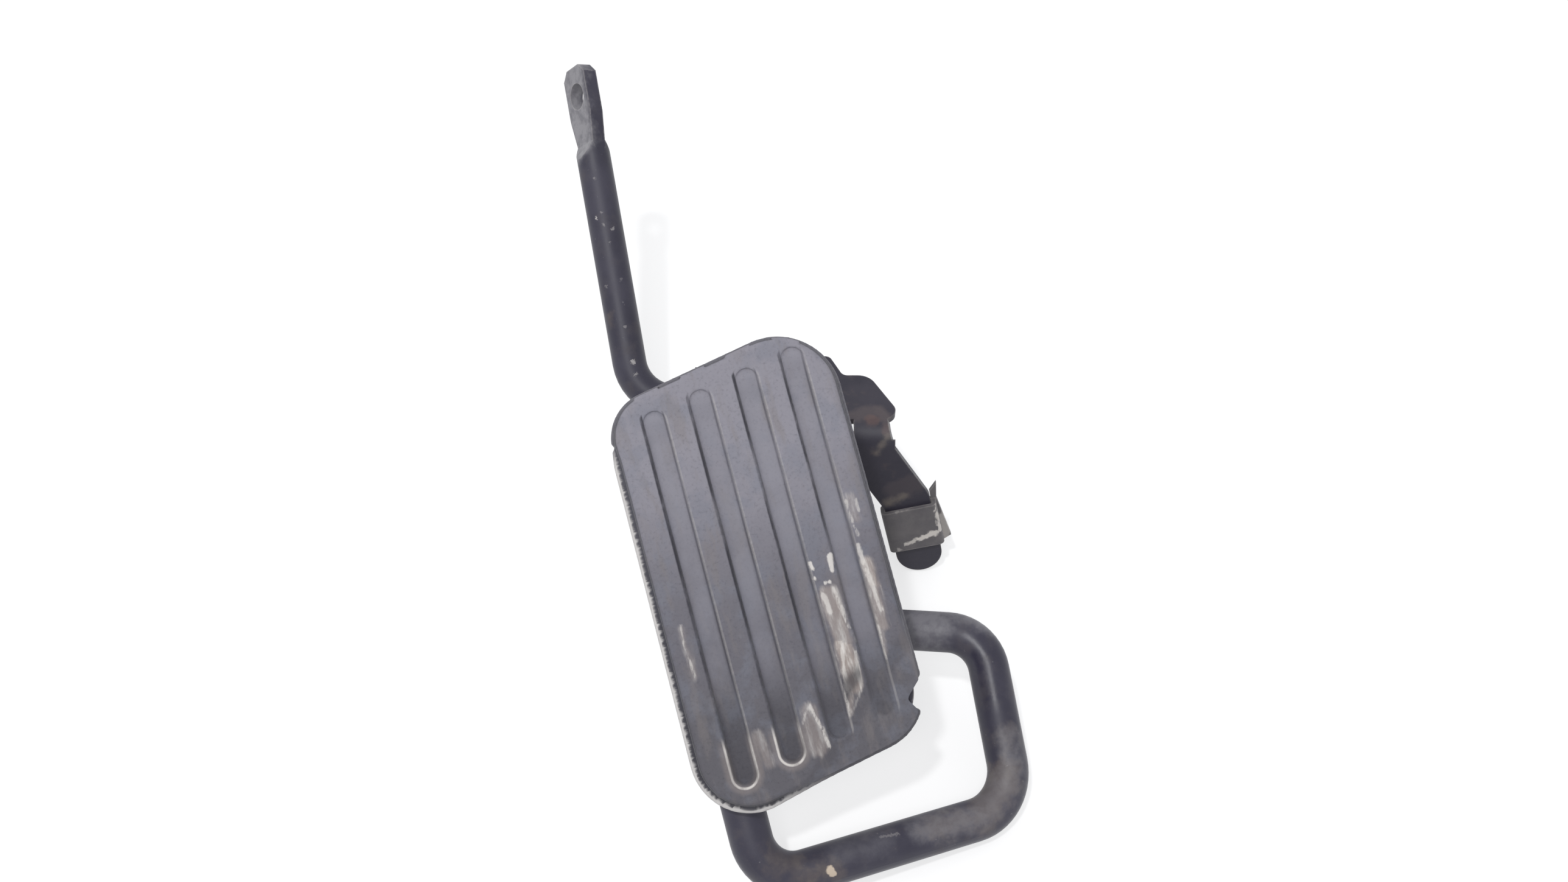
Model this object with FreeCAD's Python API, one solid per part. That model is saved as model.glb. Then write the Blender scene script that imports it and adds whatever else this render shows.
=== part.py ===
import FreeCAD, Part
import os
from math import cos, degrees, radians, sin, tan

from FreeCAD import Placement, Rotation, Vector

# Floor-mounted throttle pedal: a bent rod lever in a sheet bracket, with a rubber-faced pad.
# Millimetres, +Z up, the bracket stands on Z = 0. Everything is drawn with the pivot axis along X
# above the zero point; the finished pieces are moved to bring the middle of the floor bolts there.
# The lever is drawn with the pad pressed right down, which is how the loose pedal lies.

# Lever rod
rod_diameter = 10.0
pivot_height = 19.0
upper_corner_x = -43.5
lower_corner_x = 2.0
upper_arm_length = 100.0
upper_arm_rise = 40.9
upper_arm_splay = 10.0
arm_bend_radius = 13.5
elbow_bend_radius = 10.0
loop_bend_radius = 10.5
loop_outer_bend_radius = 12.0
rod_end_chamfer = 0.8

# Corners of the carrying loop, where its straight runs would meet
arm_corner = Vector(21.5, -82.4, 23.0)
loop_top_corner = Vector(49.0, -86.4, 26.0)
loop_right_corner = Vector(56.0, -121.8, 4.35)
loop_left_corner = Vector(-4.8, -144.1, 11.5)
pad_leg_length = 84.0
pad_leg_rise = 35.9
pad_leg_splay = 15.0

# Forged cable eye
eye_length = 27.4
eye_width = 12.0
eye_thickness = 4.2
eye_neck_width = 9.0
eye_neck_length = 4.5
eye_chamfer = 2.6
eye_hole_diameter = 7.6
eye_hole_from_tip = 8.6
eye_turn = -53.0

# Pad: a slanted plate inside a moulded rubber cover
pad_width = 54.4
pad_length = 98.0
pad_slant = 10.7
pad_left_bottom_radius = 13.0
pad_right_bottom_radius = 13.0
pad_right_top_radius = 15.0
pad_left_top_radius = 11.0
pad_roll = -8.5
pad_above_corner = 68.8
pad_beside_leg = 19.1
face_thickness = 5.5
plate_thickness = 2.0
lip_thickness = 1.0
lip_width = 3.0
cover_wall = 2.0
tread_step = 0.9
tread_height = 3.4
tread_chamfer = 0.9
lip_clearance = 0.3

# Grooves of the rubber face
groove_count = 4
groove_pitch = 11.3
groove_width = 5.2
groove_depth = 2.0
groove_shift = 0.7
groove_top_margin = 5.5
groove_bottom_margin = 7.0

# Wear of the rubber face: a hollow rubbed into the lower right, and a tear in the edge beside it
hollow_depth = 1.2
hollow_width = 29.0
hollow_from_right = 12.0
hollow_from_bottom = 8.5
tear_depth = 4.6
tear_rise = 4.4
tear_return = 3.2
tear_lower_depth = 2.6
tear_from_bottom = 12.5

# Bracket sheet
sheet_thickness = 2.0
sheet_bend_radius = 2.0
ear_left_x = -25.0
ear_right_x = -10.0
ear_radius = 10.0
ear_foot_width = 26.0
base_front = -44.0
base_back = 22.0
foot_left = -36.0
foot_back = -18.0
base_corner_radius = 5.0
mount_hole_diameter = 6.6
mount_hole_spacing = 44.0
mount_centre_y = -9.0

# Idle stop flange, folded out of the right ear over the lower arm
flange_top = 45.5
flange_back = -8.2
flange_step_x = 12.5
flange_neck_x = 16.0
flange_neck_y = -15.6
flange_nose_start = 23.0
flange_nose_x = 30.4
flange_nose_y = -29.2
flange_front = -36.9
stop_ear_foot_back = -8.0
flange_step_radius = 2.0
flange_shoulder_radius = 5.0
flange_nose_radius = 3.0
flange_end_radius = 0.6

# Leg folded down from the flange, with a kink in its own plane
leg_bend_radius = 4.5
leg_width = 12.6
leg_lean = 13.9
leg_left_x = 18.4
leg_right_x = 27.3
leg_top_x = 18.3
leg_kink_drop = 22.6
leg_upper_slant = 33.6
leg_lower_slant = 13.6
leg_end_drop = 39.8

# Buffer sleeve wrapped round the leg
sleeve_wall = 1.2
sleeve_gap = 0.1
sleeve_length = 13.5
sleeve_from_kink = 1.7
sleeve_fold_radius = 1.4
wing_top_rise = 5.0
wing_top_reach = 1.1
wing_shoulder_rise = 2.4
wing_waist_reach = 0.3
wing_bottom_drop = 1.6
wing_bottom_reach = 2.1

# Split bushes
bush_wall = 1.6
running_clearance = 0.05
seat_clearance = 0.02
bush_flange_thickness = 1.5
bush_flange_rim = 1.8
bush_nose_length = 1.2
bush_slit = 1.0

# Weld beads between the lever and the pad plate
bead_root = 1.0
bead_reach = 5.2
bead_top = 4.6
bead_height = 3.0
bead_length = 16.0
bead_gap = 14.0
bead_start = 10.0

rod_radius = rod_diameter / 2
mount_centre = Vector((ear_left_x + ear_right_x) / 2, mount_centre_y, 0)
pad_slope = tan(radians(pad_slant))
AXIS_X, AXIS_Y, AXIS_Z = Vector(1, 0, 0), Vector(0, 1, 0), Vector(0, 0, 1)


def unit(vector):
    return Vector(vector).normalize()


def heading(rise, splay):
    """Direction that climbs away from the driver by rise and leans left by splay."""
    flat = cos(radians(splay))
    return Vector(-sin(radians(splay)), flat * cos(radians(rise)), flat * sin(radians(rise)))


def rounded_edges(corners, radii):
    """Straight runs through the corners, joined by tangent arcs; the two ends stay sharp."""
    edges = []
    start = corners[0]
    for before, corner, after, radius in zip(corners, corners[1:], corners[2:], radii):
        incoming = unit(corner - before)
        outgoing = unit(after - corner)
        turn = incoming.getAngle(outgoing)
        setback = radius * tan(turn / 2)
        arc_start = corner - incoming * setback
        arc_end = corner + outgoing * setback
        arc_middle = corner + unit(outgoing - incoming) * radius * (1 / cos(turn / 2) - 1)
        edges.append(Part.LineSegment(start, arc_start).toShape())
        edges.append(Part.Arc(arc_start, arc_middle, arc_end).toShape())
        start = arc_end
    edges.append(Part.LineSegment(start, corners[-1]).toShape())
    return edges


def rounded_outline(corners, radii):
    """Closed outline through the corners, each rounded by its own radius."""
    middle = (corners[0] + corners[-1]) / 2
    return Part.Wire(rounded_edges([middle] + corners + [middle], radii))


def plate(outline, direction):
    return Part.Face(outline).extrude(direction)


def box(x_range, y_range, z_range):
    low = Vector(x_range[0], y_range[0], z_range[0])
    return Part.makeBox(x_range[1] - low.x, y_range[1] - low.y, z_range[1] - low.z, low)


def fused(shapes):
    return shapes[0].fuse(shapes[1:]).removeSplitter()


def pivot(x):
    return Vector(x, 0, pivot_height)


# Lever route and pad frame

upper_arm = heading(upper_arm_rise, upper_arm_splay)
shoulder = pivot(upper_corner_x) + upper_arm * (upper_arm_length - eye_length)
pad_up = heading(pad_leg_rise, pad_leg_splay)
level_normal = unit(AXIS_Z - pad_up * AXIS_Z.dot(pad_up))
pad_normal = Rotation(pad_up, pad_roll).multVec(level_normal)
pad_right = pad_up.cross(pad_normal)
leg_depth = face_thickness + plate_thickness + rod_radius
bead_low = -pad_length / 2 + bead_start
pad_centre = (
    loop_left_corner + pad_up * pad_above_corner + pad_right * pad_beside_leg + pad_normal * leg_depth
)
pad_frame = Placement(pad_centre, Rotation(pad_right, pad_up, pad_normal, "ZXY"))


def round_bar(edges):
    """Round bar along straight runs and tangent arcs."""
    pieces = []
    for edge in edges:
        start = edge.Vertexes[0].Point
        rim = Part.makeCircle(rod_radius, start, edge.tangentAt(edge.FirstParameter))
        section = Part.Face(Part.Wire(rim))
        if isinstance(edge.Curve, Part.Line):
            pieces.append(section.extrude(edge.Vertexes[1].Point - start))
        else:
            bend = edge.Curve
            pieces.append(section.revolve(bend.Center, bend.Axis, degrees(edge.Length / bend.Radius)))
    return pieces


def lever_edges():
    corners = [
        shoulder,
        pivot(upper_corner_x),
        pivot(lower_corner_x),
        arm_corner,
        loop_top_corner,
        loop_right_corner,
        loop_left_corner,
        loop_left_corner + pad_up * pad_leg_length,
    ]
    radii = [
        arm_bend_radius,
        elbow_bend_radius,
        loop_bend_radius,
        loop_bend_radius,
        loop_outer_bend_radius,
        loop_bend_radius,
    ]
    return rounded_edges(corners, radii)


def eye_blank():
    """Flattened rod end in its own frame: Z along the rod from the shoulder, Y across the flat."""
    half_neck, half_eye, half_flat = eye_neck_width / 2, eye_width / 2, eye_thickness / 2
    shoulders = eye_length - eye_hole_from_tip - eye_width / 2
    thickness_profile = Part.makePolygon([
        Vector(0, -rod_radius, 0),
        Vector(0, -half_flat, eye_neck_length),
        Vector(0, -half_flat, eye_length),
        Vector(0, half_flat, eye_length),
        Vector(0, half_flat, eye_neck_length),
        Vector(0, rod_radius, 0),
        Vector(0, -rod_radius, 0),
    ])
    width_profile = Part.makePolygon([
        Vector(-rod_radius, 0, 0),
        Vector(-half_neck, 0, eye_neck_length),
        Vector(-half_eye, 0, shoulders),
        Vector(-half_eye, 0, eye_length - eye_chamfer),
        Vector(eye_chamfer - half_eye, 0, eye_length),
        Vector(half_eye - eye_chamfer, 0, eye_length),
        Vector(half_eye, 0, eye_length - eye_chamfer),
        Vector(half_eye, 0, shoulders),
        Vector(half_neck, 0, eye_neck_length),
        Vector(rod_radius, 0, 0),
        Vector(-rod_radius, 0, 0),
    ])
    flat = plate(thickness_profile, AXIS_X * eye_width).translated(AXIS_X * -half_eye)
    paddle = plate(width_profile, AXIS_Y * rod_diameter).translated(AXIS_Y * -rod_radius)
    collar = Part.makeCylinder(rod_radius, eye_neck_length)
    beyond = box((-eye_width, eye_width), (-eye_width, eye_width), (eye_neck_length, eye_length))
    bore = Part.makeCylinder(
        eye_hole_diameter / 2, rod_diameter, Vector(0, -rod_radius, eye_length - eye_hole_from_tip), AXIS_Y
    )
    return flat.common(paddle).common(collar.fuse(beyond)).cut(bore)


def lever_rod():
    end = loop_left_corner + pad_up * pad_leg_length
    tip = Part.makeCone(
        rod_radius, rod_radius - rod_end_chamfer, rod_end_chamfer, end, pad_up
    )
    across = unit(AXIS_X - upper_arm * AXIS_X.dot(upper_arm))
    facing = upper_arm.cross(across)
    straight = Rotation(across, facing, upper_arm, "ZXY")
    turned = straight.multiply(Rotation(AXIS_Z, eye_turn))
    eye = eye_blank()
    eye.Placement = Placement(shoulder, turned)
    return fused(round_bar(lever_edges()) + [tip, eye])


# Pad parts are drawn flat in the pad frame: X to the right, Y up the pad, Z = 0 on its face

def slanted_outline(inset, height):
    """Slanted pad outline, moved in by inset all round, at a height above the pad's face."""
    half_width = pad_width / 2 - inset
    half_length = pad_length / 2 - inset / cos(radians(pad_slant))
    rise = half_width * pad_slope
    corners = [
        Vector(-half_width, -half_length - rise, height),
        Vector(half_width, -half_length + rise, height),
        Vector(half_width, half_length + rise, height),
        Vector(-half_width, half_length - rise, height),
    ]
    radii = [
        pad_left_bottom_radius, pad_right_bottom_radius, pad_right_top_radius, pad_left_top_radius
    ]
    return rounded_outline(corners, [radius - inset for radius in radii])


def slanted_slab(inset, bottom, top):
    return plate(slanted_outline(inset, bottom), AXIS_Z * (top - bottom))


def groove(x):
    """One lengthwise groove with half-round ends."""
    low = x * pad_slope - pad_length / 2 + groove_bottom_margin + groove_width / 2
    high = x * pad_slope + pad_length / 2 - groove_top_margin - groove_width / 2
    half = groove_width / 2
    slot = box((x - half, x + half), (low, high), (-groove_depth, face_thickness))
    ends = [
        Part.makeCylinder(half, face_thickness + groove_depth, Vector(x, y, -groove_depth))
        for y in (low, high)
    ]
    return slot.fuse(ends)


def face_grooves():
    first = -(groove_count - 1) / 2 * groove_pitch + groove_shift
    return [groove(first + step * groove_pitch) for step in range(groove_count)]


def worn_hollow():
    """Ball that leaves a shallow hollow of the wanted depth and width in the lower right of the face."""
    radius = (hollow_width ** 2 / 4 + hollow_depth ** 2) / (2 * hollow_depth)
    x = pad_width / 2 - hollow_from_right
    y = x * pad_slope - pad_length / 2 + hollow_from_bottom
    return Part.makeSphere(radius, Vector(x, y, radius - hollow_depth))


def edge_tear():
    """Wedge torn out of the right edge, with a long upper flank and a short lower one."""
    deep = pad_width / 2 - tear_depth
    beyond = pad_width / 2 + tear_depth
    y = -pad_length / 2 + tear_from_bottom
    corners = [
        Vector(beyond, y + tear_rise * 2, -leg_depth),
        Vector(deep, y, -leg_depth),
        Vector(pad_width / 2 - tear_lower_depth, y - tear_return, -leg_depth),
        Vector(beyond, y - tear_return, -leg_depth),
    ]
    return plate(Part.makePolygon(corners + corners[:1]), AXIS_Z * leg_depth * 2)


def pad_cover():
    """Cover with a tread block, set in a little from the skirt that wraps the plate."""
    back = -face_thickness - plate_thickness - lip_thickness
    tread = slanted_slab(tread_step, -tread_height - tread_step, 0)
    rim = [edge for edge in tread.Edges if edge.BoundBox.ZMin > -tread_chamfer]
    cover = tread.makeChamfer(tread_chamfer, rim).fuse(slanted_slab(0, back, -tread_height))
    pocket = slanted_slab(cover_wall, -face_thickness - plate_thickness, -face_thickness)
    mouth = slanted_slab(cover_wall + lip_width, back, -face_thickness)
    rod_end = pad_leg_length - pad_above_corner + lip_clearance
    under_face = Vector(-pad_beside_leg, -pad_length, -leg_depth)
    rod_room = Part.makeCylinder(rod_radius + lip_clearance, pad_length + rod_end, under_face, AXIS_Y)
    weld_room = box(
        (-pad_beside_leg - bead_reach - lip_clearance, -pad_beside_leg),
        (bead_low - lip_clearance, bead_low + 2 * bead_length + bead_gap + lip_clearance),
        (-leg_depth, -face_thickness - plate_thickness),
    )
    return cover.cut([pocket, mouth, edge_tear(), rod_room, weld_room, worn_hollow()] + face_grooves())


def pad_plate():
    return slanted_slab(cover_wall, -face_thickness - plate_thickness, -face_thickness)


def weld_beads():
    """Fillet beads on both sides of the lever, seated on the plate and on the rod."""
    back = -face_thickness - plate_thickness
    beads = []
    for side in (-1, 1):
        corners = [
            Vector(side * bead_root, 0, 0),
            Vector(side * bead_reach, 0, 0),
            Vector(side * bead_top, 0, -bead_height),
        ]
        profile = Part.makePolygon(corners + corners[:1])
        for place in (bead_low, bead_low + bead_length + bead_gap):
            bead = plate(profile, AXIS_Y * bead_length)
            bead.translate(Vector(-pad_beside_leg, place, back))
            beads.append(bead)
    rod = Part.makeCylinder(
        rod_radius, pad_length, Vector(-pad_beside_leg, -pad_length / 2, -leg_depth), AXIS_Y
    )
    return Part.makeCompound([bead.cut(rod) for bead in beads])


def on_pad(shape):
    placed = shape.copy()
    placed.Placement = pad_frame
    return placed


# Bracket

def ear_outline(x, foot_half_width):
    """Side outline of an ear: a tapered foot under a round head centred on the pivot."""
    head = Part.makeCylinder(ear_radius, sheet_thickness, pivot(x - sheet_thickness / 2), AXIS_X)
    left = x - sheet_thickness / 2
    foot = plate(Part.makePolygon([
        Vector(left, -foot_half_width, 0),
        Vector(left, foot_half_width, 0),
        Vector(left, ear_radius, pivot_height),
        Vector(left, -ear_radius, pivot_height),
        Vector(left, -foot_half_width, 0),
    ]), AXIS_X * sheet_thickness)
    return head.fuse(foot)


def stop_ear():
    """Front part of the right ear, which rises past the lever to carry the stop flange."""
    left = ear_right_x - sheet_thickness / 2
    return plate(Part.makePolygon([
        Vector(left, flange_front + sheet_bend_radius, 0),
        Vector(left, stop_ear_foot_back, 0),
        Vector(left, flange_back, flange_top),
        Vector(left, flange_front + sheet_bend_radius, flange_top),
        Vector(left, flange_front + sheet_bend_radius, 0),
    ]), AXIS_X * sheet_thickness)


def folded_sheet():
    """The sheet's cross section, left ear, base, right ear and stop flange, drawn out along Y."""
    middle = sheet_thickness / 2
    corners = [
        Vector(ear_left_x, base_front, pivot_height + ear_radius),
        Vector(ear_left_x, base_front, middle),
        Vector(ear_right_x, base_front, middle),
        Vector(ear_right_x, base_front, flange_top - middle),
        Vector(flange_nose_x, base_front, flange_top - middle),
    ]
    radius = sheet_bend_radius + middle
    spine = Part.Wire(rounded_edges(corners, [radius] * 3))
    near_corner = corners[0] - AXIS_X * middle
    far_corner = near_corner + AXIS_Y * (base_back - base_front)
    across = AXIS_X * sheet_thickness
    section = Part.makePolygon(
        [near_corner, near_corner + across, far_corner + across, far_corner, near_corner]
    )
    return spine.makePipeShell([section], True, False)


def bracket_base():
    """Base plate with its side foot, both with round corners."""
    corners = [
        Vector(foot_left, base_front, 0),
        Vector(ear_right_x - sheet_bend_radius, base_front, 0),
        Vector(ear_right_x - sheet_bend_radius, base_back, 0),
        Vector(ear_left_x + sheet_bend_radius, base_back, 0),
        Vector(ear_left_x + sheet_bend_radius, foot_back, 0),
        Vector(foot_left, foot_back, 0),
    ]
    radii = [base_corner_radius] * len(corners)
    return plate(rounded_outline(corners, radii), AXIS_Z * sheet_thickness)


def stop_flange():
    """Plan outline of the stop flange, with its nose over the leg."""
    setback = bend_setback()
    corners = [
        Vector(ear_right_x, flange_back, 0),
        Vector(flange_step_x, flange_back, 0),
        Vector(flange_neck_x, flange_neck_y, 0),
        Vector(flange_nose_start, flange_neck_y, 0),
        Vector(flange_nose_x, flange_nose_y, 0),
        Vector(leg_right_x, flange_front + setback, 0),
        Vector(ear_right_x, flange_front + setback, 0),
    ]
    lead_in = [corners[-1], corners[0]]
    radii = [
        flange_step_radius,
        flange_step_radius,
        flange_shoulder_radius,
        flange_nose_radius,
        flange_end_radius,
    ]
    edges = rounded_edges(corners, radii)
    edges.append(Part.LineSegment(*lead_in).toShape())
    plan = plate(Part.Wire(edges), AXIS_Z * sheet_thickness)
    return plan.translated(AXIS_Z * (flange_top - sheet_thickness))


def bend_setback():
    """From the outer corner of the leg's fold to where the flat flange ends."""
    outer = leg_bend_radius + sheet_thickness
    return outer * tan(radians(90 - leg_lean) / 2)


def leg_point(x, drop):
    return Vector(x, -drop, 0)


def leg_strip(start, end):
    """Straight stretch of the leg in its own plane, with round ends."""
    along = unit(end - start)
    side = Vector(-along.y, along.x, 0) * leg_width / 2
    run = Part.makePolygon([start + side, end + side, end - side, start - side, start + side])
    discs = [Part.makeCylinder(leg_width / 2, sheet_thickness, place) for place in (start, end)]
    return plate(run, AXIS_Z * sheet_thickness).fuse(discs)


def slanted_point(start, slant, drop):
    """Point of the leg's centre line at a drop, reached from start at a slant to the right."""
    return start + leg_point((drop + start.y) * tan(radians(slant)), drop + start.y)


leg_up = Rotation(AXIS_X, -leg_lean).multVec(AXIS_Z)
leg_out = AXIS_X.cross(leg_up)
leg_frame = Placement(Vector(0, flange_front, flange_top), Rotation(AXIS_X, leg_up, leg_out, "ZXY"))
leg_top = leg_point(leg_top_x, 0)
leg_kink = slanted_point(leg_top, leg_upper_slant, leg_kink_drop)
leg_end = slanted_point(leg_kink, leg_lower_slant, leg_end_drop)


def prop_leg():
    """Kinked leg in its own plane, its outer face at Z = 0, cut straight beside the lever."""
    setback = bend_setback()
    far = leg_width * 2
    blank = leg_strip(leg_top, leg_kink).fuse(leg_strip(leg_kink, leg_end))
    blank.translate(AXIS_Z * -sheet_thickness)
    beside = box((leg_left_x - far, leg_left_x), (-leg_end_drop, far), (-far, far))
    above = box((leg_left_x - far, leg_right_x + far), (-setback, far), (-far, far))
    leg = blank.cut([beside, above]).removeSplitter()
    leg.Placement = leg_frame
    return leg


def leg_fold():
    """Bend that joins the flat flange to the leg, widening to the leg's own right edge."""
    setback = bend_setback()
    outer = leg_bend_radius + sheet_thickness
    edge_slope = tan(radians(leg_upper_slant))
    low_right_x = leg_top_x + setback * edge_slope + leg_width / 2 / cos(radians(leg_upper_slant))
    axis_point = Vector(leg_left_x, flange_front + setback, flange_top - outer)
    across = AXIS_X * (low_right_x - leg_left_x)
    section = Part.makePolygon([
        axis_point + AXIS_Z * leg_bend_radius,
        axis_point + AXIS_Z * outer,
        axis_point + AXIS_Z * outer + across,
        axis_point + AXIS_Z * leg_bend_radius + across,
        axis_point + AXIS_Z * leg_bend_radius,
    ])
    bend = Part.Face(section).revolve(axis_point, AXIS_X, 90 - leg_lean)
    fold_height = outer * (1 - sin(radians(leg_lean)))
    beside = plate(Part.makePolygon([
        Vector(leg_right_x, flange_front, flange_top),
        Vector(low_right_x, flange_front, flange_top - fold_height),
        Vector(low_right_x + outer, flange_front, flange_top),
        Vector(leg_right_x, flange_front, flange_top),
    ]), AXIS_Y * setback)
    return bend.cut(beside)


def mounting_bracket():
    sheet = folded_sheet()
    keep = fused([
        ear_outline(ear_left_x, ear_foot_width / 2),
        ear_outline(ear_right_x, ear_foot_width / 2),
        stop_ear(),
    ])
    folds = sheet.common(keep.fuse([bracket_base(), stop_flange(), fold_zone()]))
    bracket = fused([folds, bracket_base(), stop_flange(), leg_fold(), prop_leg()])
    return bracket.cut(bracket_holes())


def fold_zone():
    """Room for the folds at the foot of both ears and at the root of the flange."""
    reach = sheet_bend_radius + sheet_thickness
    foot = (-ear_foot_width / 2, ear_foot_width / 2)
    stop = (flange_front + sheet_bend_radius, flange_back)
    zones = [
        box((ear_left_x - reach, ear_left_x + reach), foot, (0, reach)),
        box((ear_right_x - reach, ear_right_x + reach), foot, (0, reach)),
        box((ear_right_x - reach, ear_right_x + reach), (stop[0], foot[0]), (0, reach)),
        box((ear_right_x - reach, ear_right_x + reach), stop, (flange_top - reach, flange_top)),
    ]
    return zones[0].fuse(zones[1:])


def bracket_holes():
    seat = rod_radius + running_clearance + bush_wall + seat_clearance
    holes = [
        Part.makeCylinder(seat, sheet_thickness * 2, pivot(x - sheet_thickness), AXIS_X)
        for x in (ear_left_x, ear_right_x)
    ]
    for side in (-1, 1):
        place = mount_centre + AXIS_Y * side * mount_hole_spacing / 2
        holes.append(Part.makeCylinder(mount_hole_diameter / 2, sheet_thickness, place))
    return holes


def pivot_bush(ear_x, side):
    """Split bush pushed through an ear from outside; side is -1 for the left ear, 1 for the right."""
    bore = rod_radius + running_clearance
    body = bore + bush_wall
    outside = ear_x + side * (sheet_thickness / 2 + seat_clearance)
    inward, outward = AXIS_X * -side, AXIS_X * side
    flange = Part.makeCylinder(body + bush_flange_rim, bush_flange_thickness, pivot(outside), outward)
    sleeve_run = sheet_thickness + 2 * seat_clearance + bush_nose_length
    sleeve = Part.makeCylinder(body, sleeve_run, pivot(outside), inward)
    total = sleeve_run + bush_flange_thickness
    start = pivot(outside + side * bush_flange_thickness)
    hole = Part.makeCylinder(bore, total, start, inward)
    slit = box(
        (min(start.x, start.x - side * total), max(start.x, start.x - side * total)),
        (-bush_slit / 2, bush_slit / 2),
        (pivot_height, pivot_height + body + bush_flange_rim),
    )
    return fused([flange, sleeve]).cut([hole, slit])


def buffer_sleeve():
    """Sheet sleeve folded round the lower leg, with a bent wing on its back at the right."""
    along = unit(leg_kink - leg_end)
    across = Vector(along.y, -along.x, 0)
    top = leg_kink - along * sleeve_from_kink
    frame = Placement(top, Rotation(across, along, AXIS_Z, "ZXY"))
    half_inner = leg_width / 2 + sleeve_gap
    half_outer = half_inner + sleeve_wall
    depth = sheet_thickness + 2 * sleeve_gap + 2 * sleeve_wall
    front = sleeve_gap + sleeve_wall
    back = front - depth
    shell = box((-half_outer, half_outer), (-sleeve_length, 0), (back, front))
    folds = [edge for edge in shell.Edges if abs(edge.tangentAt(edge.FirstParameter).y) > 0.9]
    shell = shell.makeFillet(sleeve_fold_radius, folds)
    hollow = box((-half_inner, half_inner), (-sleeve_length, 0), (back + sleeve_wall, sleeve_gap))
    wing = Part.makePolygon([
        Vector(half_inner, 0, back),
        Vector(half_inner, wing_shoulder_rise, back),
        Vector(half_outer + wing_top_reach, wing_top_rise, back),
        Vector(half_outer + wing_waist_reach, 0, back),
        Vector(half_outer + wing_bottom_reach, -sleeve_length, back),
        Vector(half_inner, -sleeve_length - wing_bottom_drop, back),
        Vector(half_inner, 0, back),
    ])
    sleeve = fused([shell, plate(wing, AXIS_Z * sleeve_wall)]).cut(hollow)
    sleeve.Placement = leg_frame.multiply(frame)
    return sleeve


parts = {
    "pedal_rod": lever_rod(),
    "pad_plate": on_pad(pad_plate()),
    "pad_cover": on_pad(pad_cover()),
    "pad_welds": on_pad(weld_beads()),
    "mounting_bracket": mounting_bracket(),
    "pivot_bush_left": pivot_bush(ear_left_x, -1),
    "pivot_bush_right": pivot_bush(ear_right_x, 1),
    "buffer_sleeve": buffer_sleeve(),
}

os.makedirs("parts", exist_ok=True)
for name, shape in parts.items():
    shape.translated(-mount_centre).exportStep("parts/" + name + ".step")
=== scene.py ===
from math import cos, radians, sin, tan
from types import SimpleNamespace

import bmesh
import bpy
from mathutils import Matrix, Vector, noise


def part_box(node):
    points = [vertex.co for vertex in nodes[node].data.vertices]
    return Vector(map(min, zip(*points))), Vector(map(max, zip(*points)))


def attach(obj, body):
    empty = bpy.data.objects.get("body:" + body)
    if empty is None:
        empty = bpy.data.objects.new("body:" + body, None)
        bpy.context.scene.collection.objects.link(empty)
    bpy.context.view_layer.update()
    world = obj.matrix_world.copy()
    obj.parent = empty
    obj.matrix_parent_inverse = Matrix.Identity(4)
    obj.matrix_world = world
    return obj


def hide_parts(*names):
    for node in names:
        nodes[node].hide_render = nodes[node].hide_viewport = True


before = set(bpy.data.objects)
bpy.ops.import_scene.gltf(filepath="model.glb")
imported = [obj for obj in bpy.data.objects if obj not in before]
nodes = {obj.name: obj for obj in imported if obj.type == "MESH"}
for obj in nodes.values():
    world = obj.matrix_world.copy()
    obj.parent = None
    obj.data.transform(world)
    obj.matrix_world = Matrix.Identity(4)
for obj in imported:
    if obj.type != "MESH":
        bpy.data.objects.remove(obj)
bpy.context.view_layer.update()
bpy.ops.object.select_all(action="DESELECT")

# Throttle pedal, pressed down, in metres. +Y runs away from the driver, +Z is up.
# The bracket stands on the floor, the middle of its two bolts is the origin.


# Lever: 10 mm steel bar, bent cold in one piece, its upper end forged flat and punched for the
# cable. Its black paint has gone dull and dusty, is chipped along the upper arm, stained brown
# round the lower bends and polished where the shoe brushed the loop. Pale films of dust and
# painted light lie on the flat of the eye and along the loop.

black_paint = (0.027, 0.025, 0.043, 1)
dull_paint = (0.044, 0.041, 0.063, 1)
brown_stain = (0.092, 0.074, 0.072, 1)
# Pale film: dust, with painted light on the faces that are turned up to the lamps.
dust_and_painted_light = (0.250, 0.244, 0.262, 1)
# Tan of road dust, also used for a painted highlight on the bracket's crease.
road_dust_and_highlight = (0.17, 0.145, 0.125, 1)
bare_primer = (0.40, 0.38, 0.38, 1)
loose_flake = (0.52, 0.43, 0.34, 1)


def feed(tree, socket, value):
    """Gives an input a value, or links it to the socket that feeds it."""
    if isinstance(value, bpy.types.NodeSocket):
        tree.links.new(value, socket)
    else:
        socket.default_value = value


def add(tree, kind, inputs=None, **settings):
    """Adds a node with its settings and its inputs, named or numbered."""
    made = tree.nodes.new(kind)
    for name, value in settings.items():
        setattr(made, name, value)
    for name, value in (inputs or {}).items():
        feed(tree, made.inputs[name], value)
    return made


def calc(tree, operation, first, second=0.0, third=0.0, clamp=False):
    """Result of a Math node."""
    inputs = {0: first, 1: second, 2: third}
    return add(tree, "ShaderNodeMath", inputs, operation=operation, use_clamp=clamp).outputs[0]


def vector_calc(tree, operation, first, second, result="Vector"):
    """Result of a Vector Math node: a vector, or the number that is called Value."""
    inputs = {0: first, 1: second}
    return add(tree, "ShaderNodeVectorMath", inputs, operation=operation).outputs[result]


def laid_over(tree, under, over, mask, strength=1.0):
    """Colour with another laid over it where the mask is 1."""
    share = calc(tree, "MULTIPLY", mask, strength, clamp=True)
    # A Mix node keeps its colours in inputs 6 and 7 and in output 2
    return add(tree, "ShaderNodeMix", {0: share, 6: under, 7: over}, data_type="RGBA").outputs[2]


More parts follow.
